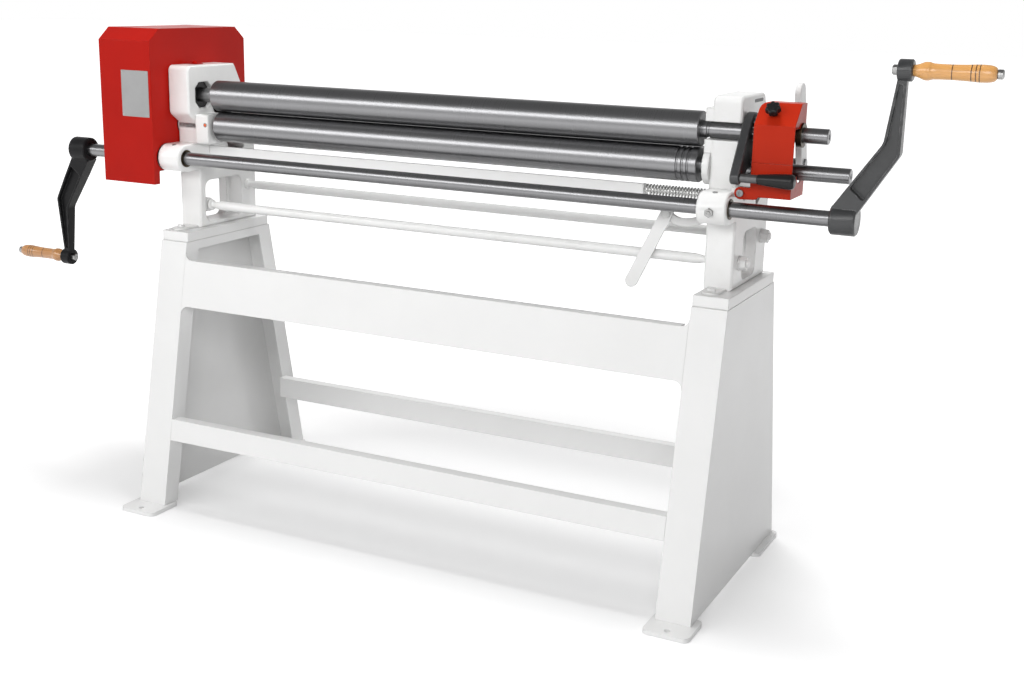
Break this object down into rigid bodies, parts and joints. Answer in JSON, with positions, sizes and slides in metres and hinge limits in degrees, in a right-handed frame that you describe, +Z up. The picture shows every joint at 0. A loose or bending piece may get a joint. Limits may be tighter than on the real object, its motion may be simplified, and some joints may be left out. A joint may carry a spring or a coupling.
{
  "type": "slip roll machine",
  "caption": "Slip roll for bending sheet metal: geared pinch rolls and a rear forming roll between cast end frames on a pressed-sheet stand, turned by hand cranks.",
  "frame": {"origin": "middle of the footprint on the floor, at the centre of the whole machine with both cranks", "axes": "+X along the rolls to the operator's right, +Y from the operator's side towards the rear forming roll, +Z up; the operator stands on -Y"},
  "size_m": [2.529, 0.675, 1.1964],
  "materials": {
    "stand_paint": "gloss",
    "guard_red": "gloss",
    "ground_steel": "ground",
    "dark_casting": "painted satin",
    "black_plastic": "satin",
    "varnished_wood": "varnished",
    "bronze": "worn",
    "zinc": "plated"
  },
  "bodies": {
    "base": {"right_leg": "stand_paint", "left_leg": "stand_paint", "right_top_cap": "stand_paint", "left_top_cap": "stand_paint", "right_front_foot": "stand_paint", "left_front_foot": "stand_paint", "right_rear_foot": "stand_paint", "left_rear_foot": "stand_paint", "apron": "stand_paint", "front_stretcher": "stand_paint", "rear_stretcher": "stand_paint", "right_foot_bolt": "zinc", "left_foot_bolt": "zinc", "right_end_frame": "stand_paint", "left_end_frame": "stand_paint", "right_lower_bearing": "stand_paint", "left_lower_bearing": "stand_paint", "right_shaft_bush": "bronze", "left_shaft_bush": "bronze", "front_tie_rod": "stand_paint", "rear_tie_rod": "stand_paint", "right_front_tie_nut": "stand_paint", "left_front_tie_nut": "stand_paint", "right_rear_tie_nut": "stand_paint", "left_rear_tie_nut": "stand_paint", "left_guard": "guard_red", "lower_gear_guard": "guard_red", "guard_bolt": "zinc", "lever_bracket": "stand_paint"},
    "lower_roll": {"lower_roll": "ground_steel", "lower_roll_stub": "ground_steel", "lower_roll_gear": "dark_casting", "lower_drive_gear": "ground_steel"},
    "drive_shaft": {"drive_shaft": "ground_steel", "drive_pinion": "ground_steel", "right_crank": "dark_casting", "left_crank": "dark_casting", "right_handle_pin": "zinc", "left_handle_pin": "zinc"},
    "right_handle": {"right_handle": "varnished_wood"},
    "left_handle": {"left_handle": "varnished_wood"},
    "clutch_collar": {"clutch_collar": "ground_steel"},
    "top_swing": {"swivel_bearing": "black_plastic", "gear_hood": "guard_red", "hood_bush": "bronze"},
    "top_roll": {"top_roll": "ground_steel", "upper_roll_gear": "dark_casting"},
    "lock_arm": {"lock_arm": "dark_casting", "lock_handle_pin": "zinc"},
    "lock_handle": {"lock_handle": "black_plastic"},
    "star_knob": {"star_knob": "black_plastic"},
    "rear_carrier": {"right_slide": "dark_casting", "left_slide": "dark_casting"},
    "rear_roll": {"rear_roll": "ground_steel"},
    "rear_lift": {"lift_shaft": "ground_steel", "lift_lever": "stand_paint"},
    "shift_rail": {"shift_rail": "stand_paint", "shift_fork": "ground_steel", "shift_spring": "zinc"},
    "shift_lever": {"shift_lever": "stand_paint"}
  },
  "joints": [
    {"name": "lower_roll_spin", "type": "hinge", "parent": "base", "child": "lower_roll", "pos_m": [0.028, -0.0505, 0.955], "axis": [1, 0, 0], "continuous": true},
    {"name": "drive_shaft_spin", "type": "hinge", "parent": "base", "child": "drive_shaft", "pos_m": [0.028, -0.1245, 0.8776], "axis": [1, 0, 0], "continuous": true},
    {"name": "right_handle_spin", "type": "hinge", "parent": "drive_shaft", "child": "right_handle", "pos_m": [1.178, -0.15056, 1.17546], "axis": [1, 0, 0], "continuous": true},
    {"name": "left_handle_spin", "type": "hinge", "parent": "drive_shaft", "child": "left_handle", "pos_m": [-1.178, -0.09844, 0.57974], "axis": [1, 0, 0], "continuous": true},
    {"name": "clutch_slide", "type": "slide", "parent": "drive_shaft", "child": "clutch_collar", "axis": [1, 0, 0], "range_m": [0, 0.008]},
    {"name": "top_roll_swing", "type": "hinge", "parent": "base", "child": "top_swing", "pos_m": [-0.685, -0.0505, 1.031], "axis": [0, 0, -1], "range_deg": [0, 12]},
    {"name": "top_roll_spin", "type": "hinge", "parent": "top_swing", "child": "top_roll", "pos_m": [0.028, -0.0505, 1.031], "axis": [1, 0, 0], "continuous": true},
    {"name": "lock_arm_turn", "type": "hinge", "parent": "top_swing", "child": "lock_arm", "pos_m": [0.767, -0.0505, 1.031], "axis": [-1, 0, 0], "range_deg": [0, 90]},
    {"name": "lock_handle_spin", "type": "hinge", "parent": "lock_arm", "child": "lock_handle", "pos_m": [0.848, -0.1405, 0.946], "axis": [1, 0, 0], "continuous": true},
    {"name": "star_knob_turn", "type": "hinge", "parent": "top_swing", "child": "star_knob", "pos_m": [0.823, -0.087, 1.0735], "axis": [0, -0.7071, 0.7071], "continuous": true},
    {"name": "rear_roll_lift", "type": "slide", "parent": "base", "child": "rear_carrier", "axis": [0, -0.5, 0.866], "range_m": [0, 0.05]},
    {"name": "rear_roll_spin", "type": "hinge", "parent": "rear_carrier", "child": "rear_roll", "pos_m": [0.028, 0.0445, 0.947], "axis": [1, 0, 0], "continuous": true},
    {"name": "lift_shaft_turn", "type": "hinge", "parent": "base", "child": "rear_lift", "pos_m": [0.028, 0.09425, 0.95656], "axis": [-1, 0, 0], "range_deg": [0, 55.16]},
    {"name": "shift_rail_slide", "type": "slide", "parent": "base", "child": "shift_rail", "axis": [1, 0, 0], "range_m": [0, 0.008], "stiffness_N_per_m": 5700, "springref_m": -0.005, "deforming": ["shift_spring"]},
    {"name": "shift_lever_turn", "type": "hinge", "parent": "base", "child": "shift_lever", "pos_m": [0.593, -0.0555, 0.8455], "axis": [0, 1, 0], "range_deg": [0, 27]}
  ],
  "couplings": [
    {"joint": "drive_shaft_spin", "follows": "lower_roll_spin", "ratio": -3},
    {"joint": "top_roll_spin", "follows": "lower_roll_spin", "ratio": -1},
    {"joint": "clutch_slide", "follows": "shift_rail_slide", "ratio": 1},
    {"joint": "lift_shaft_turn", "follows": "rear_roll_lift", "rad_per_m": 19.253},
    {"joint": "shift_lever_turn", "follows": "shift_rail_slide", "rad_per_m": 58.904}
  ]
}
